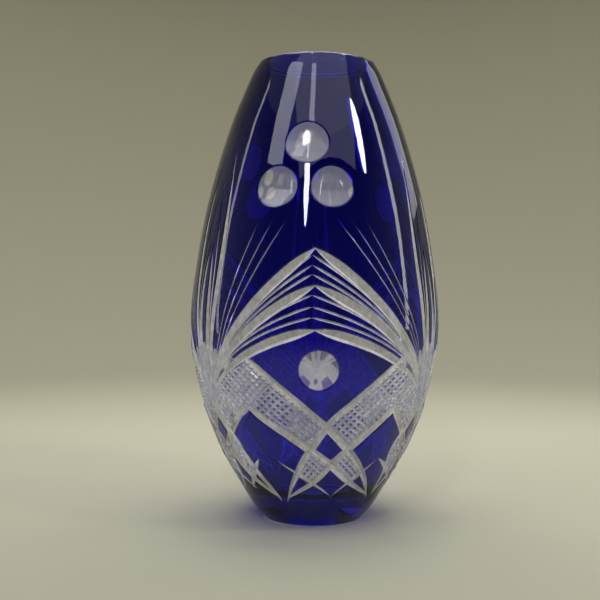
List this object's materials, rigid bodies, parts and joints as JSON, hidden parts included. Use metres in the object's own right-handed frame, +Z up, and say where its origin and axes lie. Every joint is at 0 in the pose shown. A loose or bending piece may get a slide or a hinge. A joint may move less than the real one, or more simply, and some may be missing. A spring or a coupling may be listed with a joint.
{
  "type": "cut crystal vase",
  "caption": "Ovoid cased-glass vase: a thick clear crystal body under a thin cobalt layer, cut through in lens, chevron, palm and crosshatched band patterns.",
  "frame": {"origin": "centre of the base, on the surface the vase stands on", "axes": "+Z up along the vase's axis; one motif's axis, with its lenses and kite, faces -Y, and the next motifs are at 120 and 240 degrees about +Z"},
  "size_m": [0.1642, 0.164, 0.3],
  "materials": {
    "clear_crystal": "clear lead crystal, polished outside the cuts and softly polished inside them",
    "cobalt_glass": "thin transparent cobalt blue glass, polished"
  },
  "bodies": {
    "root": {"crystal_body": "clear_crystal", "cobalt_shoulder": "cobalt_glass", "cobalt_foot": "cobalt_glass", "cobalt_upper_chevron_1": "cobalt_glass", "cobalt_upper_chevron_2": "cobalt_glass", "cobalt_upper_chevron_3": "cobalt_glass", "cobalt_lower_chevron_1": "cobalt_glass", "cobalt_lower_chevron_2": "cobalt_glass", "cobalt_lower_chevron_3": "cobalt_glass", "cobalt_kite_1": "cobalt_glass", "cobalt_kite_2": "cobalt_glass", "cobalt_kite_3": "cobalt_glass", "cobalt_diamond_1": "cobalt_glass", "cobalt_diamond_2": "cobalt_glass", "cobalt_diamond_3": "cobalt_glass", "cobalt_side_diamond_1": "cobalt_glass", "cobalt_side_diamond_2": "cobalt_glass", "cobalt_side_diamond_3": "cobalt_glass"}
  },
  "joints": []
}
